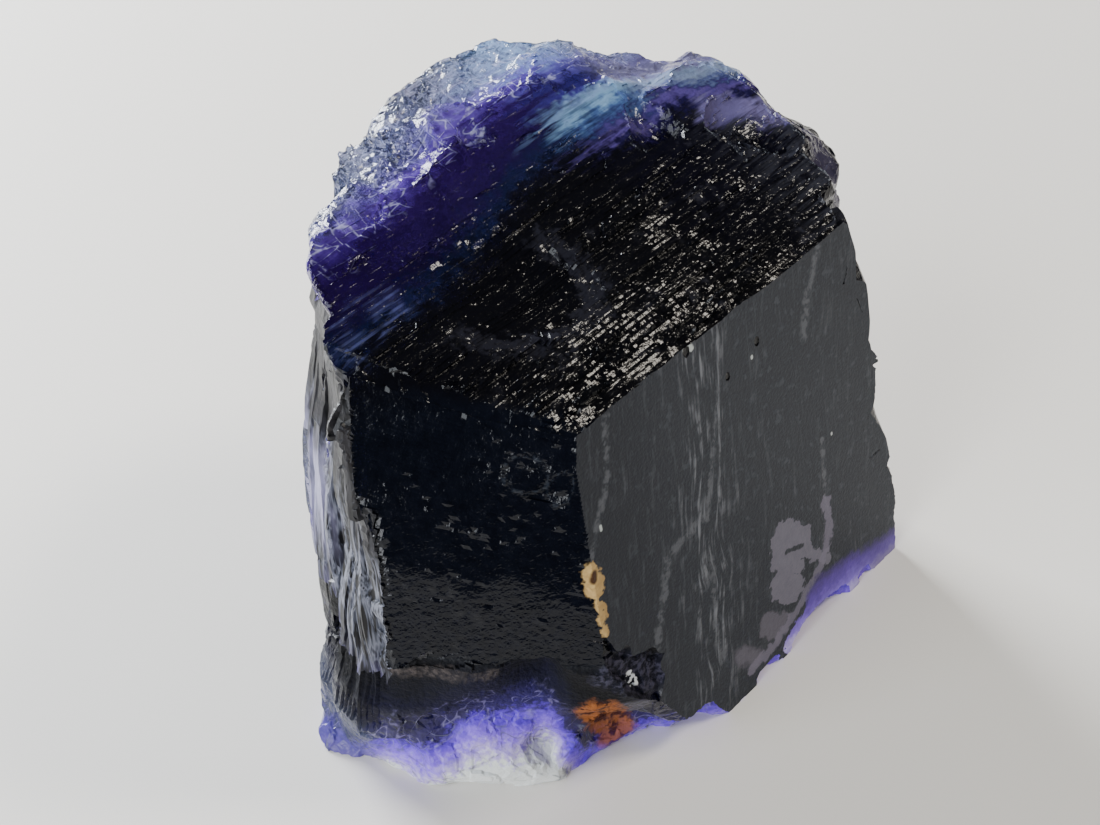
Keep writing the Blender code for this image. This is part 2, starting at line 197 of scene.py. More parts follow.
def facets(point, size):
    """Height of a surface of flat facets, each with its own slope, from about -0.5 to 0.5."""
    centre, numbers = tile(point / size)
    slope = numbers - Vector((0.5, 0.5, 0.5))
    return slope.dot(point / size - centre) + 0.5 * (drawn(centre, 57.3) - 0.5)


def left_edge(z):
    """How far to the left the front reaches at this height. Beyond it lies the splintery left side."""
    return -16.9 + 1.35 * rise(z, 27.0, 20.5)


def near_line(run, inward, start, end, reach):
    """1 on the line from start to end, and 0 further from it than reach."""
    along = Vector(end) - Vector(start)
    to_point = Vector((run, inward)) - Vector(start)
    share = min(max(to_point.dot(along) / along.length_squared, 0.0), 1.0)
    return 1 - rise((to_point - along * share).length, 0.4 * reach, reach)


def glint_share(run, inward):
    """How much of the top face is made of small tilted steps here."""
    return max(share * near_line(run, inward, start, end, reach) for start, end, reach, share in GLINT_BANDS)


def oval_rim(run, inward):
    """1 on the ragged rim of the shallow oval hollow, and 0 away from it."""
    offset = Vector((run - OVAL[0], inward - OVAL[1]))
    offset.rotate(Matrix.Rotation(-OVAL_TURN, 2))
    reach = math.hypot(offset.x / OVAL_HALF[0], offset.y / OVAL_HALF[1])
    return rise(reach, 0.82, 0.92) * rise(reach, 1.20, 1.08)


def bar_edges(middle, slope, width):
    """Heights of the two edges of a bar."""
    return middle - slope * width / 2, middle + slope * width / 2


def long_step(number, width, run, level, share):
    """A bar of the top as one of a group of long steps, of which some are tilted and shine."""
    group = math.floor(number / 6)
    length = 1.0 + 2.4 * chance(group, 1, 2)
    piece = math.floor((run + 0.16 * number + 9 * chance(group, 3, 4)) / length)
    slope = 0.10 * chance(number, piece, 5)
    if number % 2 and chance(group, piece, 12) < 0.95 * share and chance(number, piece, 13) < 0.85:
        slope = 0.18 + 0.10 * chance(number, piece, 6)
    return bar_edges(level - 0.08 * chance(number, piece, 7), slope, width)


def top_bar(number, width, run, inward):
    """One bar of the top face, a growth step that lies along EDGE_RUN: long steps, or small blocks."""
    share = glint_share(run, inward)
    shallow = rise(inward, 12.0, 11.0)
    level = 0.06 * math.floor(4 * noise.noise(Vector((run / 14, inward / 1.3, 0.0))) * shallow)
    at_corner = rise(math.hypot(run - 2.0, 0.8 * inward - 1.2), 2.8, 2.2)
    blocky = at_corner > 0.5 or noise.noise(Vector((run / 1.9, inward / 1.2, 11.0))) > 0.17
    if share > 0.10 and not blocky:
        return long_step(number, width, run, level, share)
    ragged = oval_rim(run, inward)
    lively = share > 0.10 or ragged > 0.5
    size = 0.85 if at_corner > 0.5 else 0.55 if lively else 0.36
    here = Vector((run / size / 1.4, inward / size, 5.0))
    centre, tilt = tile(here)
    along, across = 0.03 * (tilt.x - 0.5), 0.05 * tilt.y
    loose = 0.030 * rise(run, 0.0, 3.0) * shallow
    if drawn(centre, 31.7) < max((0.45 + 0.4 * at_corner) * share, 0.10 * ragged, loose):
        along, across = 0.16 * (tilt.x - 0.5), 0.18 + 0.10 * tilt.y
    middle = level - (0.10 if lively else 0.02) * drawn(centre, 57.3)
    middle += along * size * (here.x - centre.x) + across * size * (here.y - centre.y)
    return bar_edges(middle, across, width)


def side_bar(number, width, along, across):
    """One splinter of the left side. It leans towards the front, and a narrow one lies in a slit."""
    length = 7.0 + 12.0 * chance(number, 1, 9)
    piece = math.floor((along + 20 * chance(number, 2, 9)) / length)
    held = rise(along, SIDE_LENGTH, 24.0)
    rough = (0.15 + 0.85 * rise(along, 5.0, 9.0)) * held
    slope = -rough * (0.05 + 0.35 * chance(number, piece, 3))
    middle = -0.10 * held - rough * 0.20 * chance(number, piece, 4)
    if width < 0.32:
        middle -= 0.25 * rough
    return bar_edges(middle, slope, width)


def front_bar(number, width, along, up):
    """One bar of the front. Bars lean most on the brow at the left, and lie nearly flat low down."""
    cloudy = noise.noise(Vector((along / 2.4, up / 1.8, 41.0)))
    leaning = rise(up + 2.2 * cloudy, -13.0, -10.3)
    for ring_along, ring_up, half_width, half_height in FRONT_RINGS:
        reach = math.hypot((along - ring_along) / half_width, (up - ring_up) / half_height)
        leaning *= 0.1 + 0.9 * rise(abs(reach - 1.0), 0.06, 0.20)
    here = Vector((along / 0.5, up / 0.32, 13.0))
    centre, wobble = tile(here)
    pick = drawn(centre, 31.7)
    brow = rise(up, -7.5, -5.0) * rise(along, -4.5, -7.5)
    lean = -0.17 - 0.20 * leaning - 0.25 * brow
    tilt = 0.05 * (wobble.x - 0.5)
    if pick < (0.02 + 0.16 * rise(cloudy, 0.05, 0.4)) * (1 - 0.8 * brow):
        lean *= 0.2
    elif pick > 0.994 + 0.005 * brow:
        lean = -0.5 - 0.6 * wobble.y
        tilt = 0.4 * (wobble.x - 0.5)
    middle = -0.06 + 0.5 * tilt * (here.x - centre.x) - 0.012 * drawn(centre, 57.3)
    return bar_edges(middle, lean, width)


def linked(name, bm):
    """A new object in the scene with this bmesh, which is freed."""
    mesh = bpy.data.meshes.new(name)
    bm.to_mesh(mesh)
    bm.free()
    obj = bpy.data.objects.new(name, mesh)
    bpy.context.scene.collection.objects.link(obj)
    return obj


def settled(obj):
    """The object's mesh with its modifiers applied, as a bmesh."""
    bm = bmesh.new()
    bm.from_object(obj, bpy.context.evaluated_depsgraph_get())
    return bm


class Sheet:
    """A block whose upper face is a fine relief of bars over one face of the crystal."""

    def __init__(self, tree, origin, along, across, facing, level_range):
        self.tree = tree
        self.origin = origin
        self.along = along
        self.across = across
        self.up = along.cross(across).normalized()
        self.facing = facing
        self.level_range = level_range

    def place(self, u, v, height=0.0):
        return self.origin + self.along * u + self.across * v + self.up * height

    def cast(self, u, v):
        """Height of the crystal above the sheet's plane, or None, and whether it faces the sheet's way."""
        hit, normal = self.tree.ray_cast(self.place(u, v, 14) * MM, -self.up)[:2]
        if hit is None:
            return None, False
        height = (hit / MM - self.origin).dot(self.up)
        low, high = self.level_range
        return height, normal.dot(self.up) > self.facing and low < height < high

    def average(self, height, places):
        """The mean of this height and of those at the places that are on the face."""
        nearby = [self.cast(u, v) for u, v in places]
        heights = [height] + [near for near, on_face in nearby if on_face]
        return sum(heights) / len(heights)

    def first_above(self, height, places):
        """The height at the first of the places that is on the face and higher, or None."""
        for u, v in places:
            near, on_face = self.cast(u, v)
            if on_face and height < near:
                return near
        return None

    def make(self, name, columns, bars, cap, bar_heights):
        """columns are places along, bars are (from, to) across. A wide margin lies around them."""
        columns = [-FAR, *columns, FAR]
        bars = [(-FAR, bars[0][0] - 0.1), *bars, (bars[-1][1] + 0.1, FAR)]
        bm = bmesh.new()
        bmesh.ops.create_grid(bm, x_segments=len(columns) - 1, y_segments=2 * len(bars) - 1, size=1)
        bm.verts.ensure_lookup_table()
        ordered = sorted(bm.verts, key=lambda v: (round(v.co.y, 6), v.co.x))
        for number, (start, end) in enumerate(bars):
            middle = (start + end) / 2
            low_row = ordered[2 * number * len(columns):(2 * number + 1) * len(columns)]
            high_row = ordered[(2 * number + 1) * len(columns):(2 * number + 2) * len(columns)]
            for u, low_vertex, high_vertex in zip(columns, low_row, high_row):
                top, on_face = (FAR / 4, False)
                if abs(u) < FAR and 0 < number < len(bars) - 1:
                    top, on_face = cap(u, middle)
                low, high = (0.0, 0.0)
                if on_face:
                    low, high = bar_heights(number, end - start, u, middle)
                low_vertex.co = self.place(u, start, top + low) * MM
                high_vertex.co = self.place(u, end, top + high) * MM
        made = bmesh.ops.extrude_face_region(bm, geom=bm.faces[:], use_keep_orig=True)
        for vertex in [g for g in made["geom"] if isinstance(g, bmesh.types.BMVert)]:
            height = (vertex.co / MM - self.origin).dot(self.up)
            vertex.co -= self.up * (height + FAR) * MM
        bmesh.ops.recalc_face_normals(bm, faces=bm.faces)
        return linked(name, bm)


def bar_rows(start, end, width_at, gap):
    """Bars from start to end, with a narrow riser between each two."""
    bars = []
    while start < end:
        width = width_at(len(bars), start)
        bars.append((start, start + width))
        start += width + gap
    return bars


def steps_of(start, end, step):
    return [start + step * n for n in range(int((end - start) / step) + 1)]


def top_sheet(tree):
    """The growth steps of the top. Its plane goes on past its front edge, so that the edge is crisp."""
    sheet = Sheet(tree, CORNER, EDGE_RUN, INWARD, 0.93, (-1.2, 1.0))

    def cap(run, inward):
        inner = max(inward, 0.4)
        height, on_face = sheet.cast(run, inner)
        if height is None:
            height, on_face = sheet.cast(run, inward + 0.8)
        if height is None:
            return CLEAR, False
        if on_face:
            return sheet.average(height, [(run + step, inner) for step in (-0.9, -0.45, 0.45, 0.9)]), True
        if inward < TOP_REACH:
            near = sheet.first_above(height, [(run + step, inner) for step in LOOK_STEPS])
            if near is not None:
                return near, True
        return max(height, LOWEST) + 0.6 * CLEAR, False

    def width_at(number, inward):
        fine = 0.15 + 0.06 * chance(number, 1, 1)
        return fine if inward < TOP_REACH else 2.4 * fine

    bars = bar_rows(-2.0, 28.0, width_at, 0.02)
    return sheet.make("top_relief", steps_of(-16.0, 34.0, 0.28), bars, cap, top_bar)


def side_sheet(tree):
    """The splinters of the left side. The sheet lifts off where it comes near the front."""
    sheet = Sheet(tree, SIDE_TOP, SIDE_DOWN, SIDE_FORWARD, 0.5, (-9.0, 6.0))

    def cap(along, across):
        heights = []
        facing = 0
        for step in (-2.0, -1.0, 0.0, 1.0, 2.0):
            height, on_face = sheet.cast(along + step, across)
            if height is not None:
                heights.append(height)
                facing += on_face
        if not heights:
            return 3.0, False
        height = sum(heights) / len(heights)
        place = sheet.place(along, across, height)
        ahead = place.x - left_edge(place.z) + 0.3 if across > SIDE_FREE else 0.0
        past_end = max(0.5 - along, 0.5 * (along - SIDE_LENGTH))
        if across > SIDE_FREE and (ahead > 0.0 or facing < 3 and ahead > -2.0):
            return max(heights) + 3 * CLEAR, False
        beyond = CLEAR if facing == 0 else min(max(past_end, 0.0), CLEAR)
        return height + beyond, beyond == 0.0 and facing > 2

    def width_at(number, across):
        return 0.22 + 0.95 * chance(number, 8, 8) ** 2

    bars = bar_rows(-22.0, 3.0, width_at, 0.04)
    return sheet.make("side_relief", steps_of(-4.0, 36.0, 0.35), bars, cap, side_bar)


def front_sheet(tree):
    """The bars of the front. Its plane goes on past its upper and its right edge."""
    sheet = Sheet(tree, CORNER, FRONT_RUN, FRONT_RISE, 0.8, (-2.5, 1.5))

    def cap(along, up):
        height, on_face = sheet.cast(along, up)
        if height is None:
            return CLEAR, False
        place = sheet.place(along, up)
        beyond = left_edge(place.z) - place.x
        if on_face and place.z > FRONT_FOOT:
            height = sheet.average(height, [(along + step, up) for step in (-0.7, -0.35, 0.35, 0.7)])
            return height + min(max(beyond, 0.0), CLEAR), beyond < 0
        places = []
        for step in LOOK_STEPS:
            if up > -8.0 and beyond < 0:
                places.append((along, up - step))
            if along > -6.0 and place.z > FRONT_FOOT:
                places.append((along - step, up))
        near = sheet.first_above(height, places)
        if near is not None:
            return near, True
        return max(height, LOWEST) + CLEAR, False

    def width_at(number, up):
        return 0.18 + 0.12 * chance(number, 28, 8)

    bars = bar_rows(-23.5, 3.0, width_at, 0.03)
    return sheet.make("front_relief", steps_of(-18.0, 8.0, 0.30), bars, cap, front_bar)


def cut(bm, point, normal):
    """Takes away what lies beyond this plane, and closes the cut."""
    geometry = bm.verts[:] + bm.edges[:] + bm.faces[:]
    made = bmesh.ops.bisect_plane(bm, geom=geometry, plane_co=point, plane_no=normal, clear_outer=True)
    rim = [g for g in made["geom_cut"] if isinstance(g, bmesh.types.BMEdge)]
    bmesh.ops.edgeloop_fill(bm, edges=rim)


def limits(cad_box):
    """A block bounded by the right face, the base and the CAD model's own box."""
    low, high = (Vector(corner) for corner in cad_box)
    bm = bmesh.new()
    bmesh.ops.create_cube(bm, size=1)
    size = high - low
    matrix = Matrix.Translation((low + high) / 2) @ Matrix.Diagonal((*size, 1))
    bmesh.ops.transform(bm, matrix=matrix, verts=bm.verts)
    cut(bm, CORNER * MM, RIGHT_NORMAL)
    return linked("limits", bm)


def right_face_dents(run, down, rough):
    """How deep the right face is dented here: its broken lower left corner and small chips."""
    waver = 1.6 * noise.noise(Vector((run / 1.5, down / 1.5, 31.0)))
    corner = rise(down - 0.88 * run + waver, 16.6, 17.2) * rise(run + 0.22 * (down - 20.4) + waver, 4.6, 4.1)
    depth = corner * (0.45 + 2.2 * rough)
    for chip_run, chip_down, radius in CHIPS:
        away = math.hypot(run - chip_run, 0.7 * (down - chip_down))
        depth = max(depth, 0.24 * rise(away, radius, 0.4 * radius))
    return depth


def relief(point, normal):
    """How far a point of the surface moves along its normal.

    The base and the faces that a sheet cuts only move out, so that the cut goes through them.
    The rest gets broken facets, calmer by the right face and on the foot, and rougher on the far rim.
    """
    place = point - CORNER
    rough = 0.22 * facets(point, 2.4) + 0.16 * facets(point + Vector((7, 3, 1)), 1.0)
    if abs(point.z) < 0.2 and normal.z < -0.9:
        return PUSH
    if abs(place.dot(RIGHT_NORMAL)) < 0.2 and normal.dot(RIGHT_NORMAL) > 0.9:
        return PUSH - right_face_dents(place.dot(EDGE_RUN), place.dot(RIGHT_DOWN), max(rough + 0.1, 0.0))
    if abs(place.dot(TOP_NORMAL)) < 1.2 and normal.dot(TOP_NORMAL) > 0.93:
        return PUSH
    if abs(place.dot(FRONT_NORMAL)) < 2.0 and normal.dot(FRONT_NORMAL) > 0.8 and point.z > FRONT_FOOT:
        if point.x > left_edge(point.z):
            return PUSH
        return 0.22 * noise.noise(Vector((point.x / 0.5, point.y / 0.5, point.z / 6.0)))
    inside = -place.dot(RIGHT_NORMAL)
    if inside < 1.6 and normal.x > 0.3 and point.x > 12.0 and 8.0 < point.z < 30.0:
        return 0.75
    side = rise(normal.dot(SIDE_NORMAL), 0.45, 0.7) * rise(point.z, 6.5, 9.5)
    side *= 1 - rise(point.z, 31.0, 34.0)
    calm = 1 - 0.8 * rise(inside, 2.2, 1.0) * rise(point.z, 5.0, 8.0)
    calm *= 1 - 0.85 * rise(point.z, 7.0, 9.0) * rise(point.z, 13.6, 12.8) * rise(normal.y, -0.2, -0.5)
    rough += 0.28 * rise(inside, 17.5, 19.5) * rise(point.z, 26.0, 30.0) * facets(point, 1.3)
    knob = rise((point - KNOB).length, 3.4, 2.2)
    rough += 0.55 * knob * facets(point, 0.8)
    notch = 1.5 * rise((point - NOTCH).length, 2.4, 0.9)
    near_front = rise(point.y, -11.0, -13.0) * rise(left_edge(point.z) - point.x, 0.9, 0.1)
    return calm * rough * (1 - side) + side * 0.3 * (1 - near_front) - notch


def fine_surface(cad_bm):
    """The crystal as a fine mesh, with its ledge worn smooth and the facets of its broken surfaces."""
    coarse = linked("coarse", cad_bm)
    remesh = coarse.modifiers.new("fine mesh", "REMESH")
    remesh.mode = "VOXEL"
    remesh.voxel_size = SURFACE_VOXEL * MM
    bm = settled(coarse)
    bpy.data.objects.remove(coarse)
    ledge = [v for v in bm.verts if v.normal.y < -0.1 and LEDGE[0] < v.co.z / MM < LEDGE[1] and v.co.x < 0.0]
    for _ in range(LEDGE_ROUNDS):
        bmesh.ops.smooth_vert(bm, verts=ledge, factor=0.5, use_axis_x=True, use_axis_y=True, use_axis_z=True)
    bm.normal_update()
    moves = [v.normal * relief(v.co / MM, v.normal) * MM for v in bm.verts]
    for vertex, move in zip(bm.verts, moves):
        vertex.co += move
    fine = linked("fine", bm)
    fewer = fine.modifiers.new("flat facets", "DECIMATE")
    fewer.ratio = FACE_SHARE
    return fine


def carved_crystal(cad, cad_box):
    """The crystal with its fine relief, from a copy of the CAD node's mesh."""
    bm = bmesh.new()
    bm.from_mesh(cad.data)
    bmesh.ops.remove_doubles(bm, verts=bm.verts, dist=MERGE * MM)
    tree = BVHTree.FromBMesh(bm)
    crystal = fine_surface(bm)
    cutters = (top_sheet(tree), front_sheet(tree), side_sheet(tree), limits(cad_box))
    for cutter in cutters:
        modifier = crystal.modifiers.new(cutter.name, "BOOLEAN")
        modifier.operation = "INTERSECT"
        modifier.solver = "MANIFOLD"
        modifier.object = cutter
    bm = settled(crystal)
    crystal.modifiers.clear()
    for cutter in cutters:
        bpy.data.objects.remove(cutter)
    bmesh.ops.remove_doubles(bm, verts=bm.verts, dist=2 * MERGE * MM)
    bmesh.ops.dissolve_limit(bm, angle_limit=FLAT, verts=bm.verts, edges=bm.edges)
    bmesh.ops.triangulate(bm, faces=bm.faces)
    bm.to_mesh(crystal.data)
    bm.free()
    crystal.name = "crystal"
    return crystal


def srgb(red, green, blue):
    """A colour as a picture shows it, 0 to 255, made linear."""
    shares = (red / 255, green / 255, blue / 255)
    return tuple(((c + 0.055) / 1.055) ** 2.4 if c > 10 / 255 else c / 12.92 for c in shares)


class Surface:
    """The nodes of one material, added in short calls, and its colour so far.

    Lengths are in millimetres. Colours are as a picture shows them, 0 to 255.
    """

    def __init__(self, name):
        self.material = bpy.data.materials.new(name)
        self.material.use_nodes = True
        self.tree = self.material.node_tree
        self.shader = self.tree.nodes["Principled BSDF"]
        position = self.tree.nodes.new("ShaderNodeTexCoord").outputs["Object"]
        self.point = self.vector("SCALE", position, scale=1 / MM)
        self.colour = None

    def feed(self, socket, value):
        if isinstance(value, bpy.types.NodeSocket):
            self.tree.links.new(value, socket)
        elif socket.type == "RGBA":
            socket.default_value = (*srgb(*value), 1.0)
        else:
            socket.default_value = value

    def node(self, kind, values, **settings):
        """A new node with these settings. Its sockets get the values, by name or number."""
        node = self.tree.nodes.new("ShaderNode" + kind)
        for name, setting in settings.items():
            setattr(node, name, setting)
        for socket, value in values.items():
            self.feed(node.inputs[socket], value)
        return node

    def math(self, operation, *values, clamp=False):
        node = self.node("Math", dict(enumerate(values)), operation=operation, use_clamp=clamp)
        return node.outputs["Value"]

    def vector(self, operation, *values, scale=None):
        node = self.node("VectorMath", dict(enumerate(values)), operation=operation)
        if scale is not None:
            self.feed(node.inputs["Scale"], scale)
        scalar = operation in ("DOT_PRODUCT", "LENGTH")
        return node.outputs["Value" if scalar else "Vector"]

    def chain(self, operation, first, *others):
        for other in others:
            first = self.math(operation, first, other)
        return first

    def total(self, *values):
        return self.chain("ADD", *values)

    def any_of(self, *masks):
        return self.chain("MAXIMUM", *masks)

    def both(self, *masks):
        """Where all the masks are. A number among them makes the result weaker."""
        return self.chain("MULTIPLY", *masks)

    def where(self, *spans):
        """Where each value has risen. A span is a value and the numbers that it rises between."""
        return self.both(*[self.rise(*span) for span in spans])

    def minus(self, value, other):
        return self.math("SUBTRACT", value, other)

    def less(self, mask, other):
        """The mask where the other one isn't."""
        return self.both(mask, self.minus(1.0, other))

    def centred(self, value, reach):
        """A number from 0 to 1 moved and stretched to lie within half the reach of 0."""
        return self.math("MULTIPLY", self.minus(value, 0.5), reach)

    def along(self, direction, origin=CORNER):
        """Distance from the origin in this direction."""
        return self.vector("DOT_PRODUCT", self.vector("SUBTRACT", self.point, origin), direction)

    def place(self, x, y, z, longer=1.0):
        """A point with these three coordinates. The pattern on it is longer along x by this factor."""
        if longer != 1.0:
            x = self.math("DIVIDE", x, longer)
        return self.node("CombineXYZ", {"X": x, "Y": y, "Z": z}).outputs["Vector"]

    def oval(self, x, y, half_x, half_y):
        """1 on an oval around 0, less inside it and more outside."""
        return self.vector("LENGTH", self.place(x, self.math("DIVIDE", y, half_y), 0.0, half_x))

    def noise(self, place, size, detail=2.0, roughness=0.5, distortion=0.0):
        return self.node("TexNoise", {
            "Vector": place, "Scale": 1 / size, "Detail": detail, "Roughness": roughness,
            "Distortion": distortion}).outputs["Fac"]

    def rise(self, value, low, high, start=0.0, end=1.0):
        """A smooth change from start to end, as the value goes from low to high."""
        return self.node("MapRange", {
            "Value": value, "From Min": low, "From Max": high, "To Min": start, "To Max": end,
        }, interpolation_type="SMOOTHSTEP").outputs["Result"]

    def near(self, value, middle, inner, outer, end=0.0):
        """1 where the value is within inner of the middle, and end beyond outer."""
        away = self.math("ABSOLUTE", self.minus(value, middle))
        return self.rise(away, inner, outer, 1.0, end)

    def ramp(self, value, span, stops):
        """Stops are (place, colour or number), with places from 0 to span."""
        node = self.node("ValToRGB", {"Fac": self.math("DIVIDE", value, span)})
        elements = node.color_ramp.elements
        while len(elements) < len(stops):
            elements.new(0.5)
        for element, (place, shade) in zip(elements, stops):
            element.position = place / span
        for element, (place, shade) in zip(elements, stops):
            element.color = (*srgb(*shade), 1) if isinstance(shade, tuple) else (shade, shade, shade, 1)
        return node.outputs["Color"]

    def blend(self, factor, first, second, mode="MIX"):
        """A colour that goes from first to second as the factor goes from 0 to 1."""
        node = self.node("Mix", {"Factor": factor, 6: first, 7: second}, data_type="RGBA", blend_type=mode)
        return node.outputs[2]

    def shift(self, factor, first, second):
        """A number that goes from first to second as the factor goes from 0 to 1."""
        return self.node("Mix", {"Factor": factor, 2: first, 3: second}).outputs[0]

    def paint(self, mask, colour, share=1.0):
        """Lays a colour over the surface where the mask is, as thickly as the share says."""
        if share != 1.0:
            mask = self.both(mask, share)
        self.colour = self.blend(mask, self.colour, colour)

    def stroke(self, start, end, width, soft=0.35, wander=None):
        """1 within width of the line from start to end, both in millimetres, and 0 beyond it."""
        start, end = Vector(start), Vector(end)
        line = end - start
        offset = self.vector("SUBTRACT", self.point, start)
        share = self.vector("DOT_PRODUCT", offset, line / line.length_squared)
        share = self.math("ADD", share, 0.0, clamp=True)
        nearest = self.vector("SCALE", line, scale=share)
        distance = self.vector("LENGTH", self.vector("SUBTRACT", offset, nearest))
        if wander is not None:
            distance = self.total(distance, wander)
        return self.rise(distance, width * (1 - soft), width, 1.0, 0.0)

    def strokes(self, path, width, soft=0.35, wander=None):
        """One stroke along all the points of the path."""
        return self.any_of(*[self.stroke(a, b, width, soft, wander) for a, b in zip(path, path[1:])])

    def tan_stain(self, wander):
        """Paints the tan crust on the edge between the front and the right face, and returns where it is."""
        stain = self.any_of(
            self.stroke((-2.25, -18.4, 20.3), (-2.0, -18.6, 18.7), 0.80, 0.25, wander),
            self.strokes([(-1.9, -18.8, 18.3), (-1.5, -19.0, 17.0), (-1.3, -19.2, 15.2)], 0.40, 0.5, wander))
        spot = self.stroke((-2.0, -18.4, 20.1), (-2.1, -18.5, 19.6), 0.42, 0.6)
        tan = self.blend(self.ragged, (140, 106, 60), (218, 184, 122))
        self.paint(stain, self.blend(spot, tan, (64, 36, 14)))
        return stain

    def finish(self, roughness, height, depth):
        """Connects the shader. Height, from 0 to about 1, stands for a relief of this depth."""
        bump = self.node("Bump", {"Distance": depth * MM, "Height": height})
        self.feed(self.shader.inputs["Base Color"], self.colour)
        self.feed(self.shader.inputs["Roughness"], roughness)
        self.feed(self.shader.inputs["Normal"], bump.outputs["Normal"])
        self.shader.inputs["IOR"].default_value = FLUORITE_IOR


def on_top(run, inward):
    """A point of the top face."""
    return CORNER + EDGE_RUN * run + INWARD * inward


def on_right(run, down):
    """A point of the right face."""
    return CORNER + EDGE_RUN * run + RIGHT_DOWN * down


class RightFace(Surface):
    """The matte right face: fine streaks, veins, pale patches, a violet sliver along its lower edge with a
    painted glow, and painted highlights on small chips.
    """

    def __init__(self):
        super().__init__("matte right face")
        self.run = self.along(EDGE_RUN)
        self.down = self.along(RIGHT_DOWN)
        self.ragged = self.noise(self.point, 0.8, 2.0, 0.65)
        self.grain = self.noise(self.point, 0.22, 1.0, 0.7)
        self.thin = self.centred(self.ragged, 1.0)
        self.jagged = self.centred(self.ragged, 1.6)
        streaks = self.streaks()
        self.base(streaks)
        self.veins()
        self.patches()
        self.sliver()
        self.tan_stain(self.jagged)
        self.painted_highlights()
        self.shader.inputs["Specular IOR Level"].default_value = 0.3
        height = self.total(self.both(streaks, 0.6), self.grain)
        self.finish(self.shift(self.ragged, 0.46, 0.60), height, 0.04)

    def streaks(self):
        """Where fine pale streaks run down the face. They are fewer away from its middle."""
        wander = self.noise(self.place(self.down, self.run, 0.0), 7.0, 1.0)
        slanted = self.total(self.run, self.both(self.down, 0.156), self.both(wander, 1.6))
        place = self.place(slanted, self.math("DIVIDE", self.down, 9.0), 0.0)
        streaks = self.rise(self.noise(place, 0.42, 2.0, 0.65), 0.48, 0.72)
        broad = self.rise(self.noise(place, 1.6, 1.0), 0.36, 0.66)
        middle = self.near(slanted, 13.6, 0.8, 5.0, 0.22)
        streaks = self.both(streaks, self.any_of(broad, self.rise(middle, 0.7, 1.0)), middle)
        return self.both(streaks, self.rise(self.ragged, 0.25, 0.55))

    def base(self, streaks):
        """The grey of the face, darker at its left end."""
        self.colour = self.blend(self.grain, (25, 29, 38), (44, 49, 58))
        self.paint(self.rise(self.ragged, 0.55, 0.72, 0.0, 0.35), (84, 88, 96))
        self.paint(self.rise(self.run, 10.0, 2.0, 0.0, 0.5), (18, 22, 32))
        self.paint(streaks, (118, 121, 128), 0.95)

    def marks(self, table, wander):
        """Where the marks of this table are."""
        return self.any_of(*[
            self.strokes([on_right(run, down) for run, down in path], width, soft, wander)
            for path, width, soft in table])

    def veins(self):
        worn = self.rise(self.total(self.ragged, self.both(self.grain, 0.5)), 0.92, 0.62)
        self.paint(self.both(self.marks(VEINS, self.thin), worn), (114, 117, 124), 0.42)

    def patches(self):
        """The pale patch with its dark slit, fainter patches left of it, and the pale rim along them."""
        slit = self.marks(PATCH_SLIT, self.both(self.thin, 0.5))
        patch = self.less(self.marks(PALE_PATCH, self.jagged), slit)
        self.paint(patch, self.blend(self.ragged, (92, 90, 104), (116, 113, 126)))
        self.paint(self.marks(FAINT_PATCH, self.jagged), (110, 105, 118), 0.6)
        self.paint(self.marks(LOWER_RIM, self.jagged), (116, 111, 128), 0.75)

    def sliver(self):
        """The violet sliver along the lower edge. The real one is see-through; here the light shining through
        it is painted in, as a violet that grows paler towards the lower edge.
        """
        low = self.minus(self.down, self.both(self.run, 0.05))
        low = self.total(low, self.centred(self.ragged, 2.0))
        # painted glow: the paler violets low on the sliver stand in for light shining through it
        violet = self.ramp(self.minus(low, 24.0), 8.0, (
            (0.0, (60, 50, 84)), (2.0, (62, 48, 104)), (3.4, (96, 70, 168)), (4.6, (140, 114, 222)),
            (5.4, (196, 182, 240)), (6.4, (160, 140, 226))))
        violet = self.blend(self.rise(self.run, 24.0, 29.0, 0.0, 0.6), violet, (64, 50, 100))
        self.paint(self.marks(VIOLET_SLIVER, self.jagged), violet)

    def painted_highlights(self):
        """Painted highlights: small bright flecks where chips of the face catch the light."""
        # painted highlights, not a colour of the chips
        self.paint(self.any_of(
            self.stroke(on_right(17.2, 4.4), on_right(17.2, 4.5), 0.15),
            self.stroke(on_right(11.0, 0.1), on_right(11.5, 0.3), 0.30, 0.6, self.thin),
            self.stroke(on_right(1.0, 7.4), on_right(1.0, 7.7), 0.16, 0.6),
            self.stroke(on_right(24.6, 15.6), on_right(24.6, 15.7), 0.14, 0.6)), (186, 192, 190))


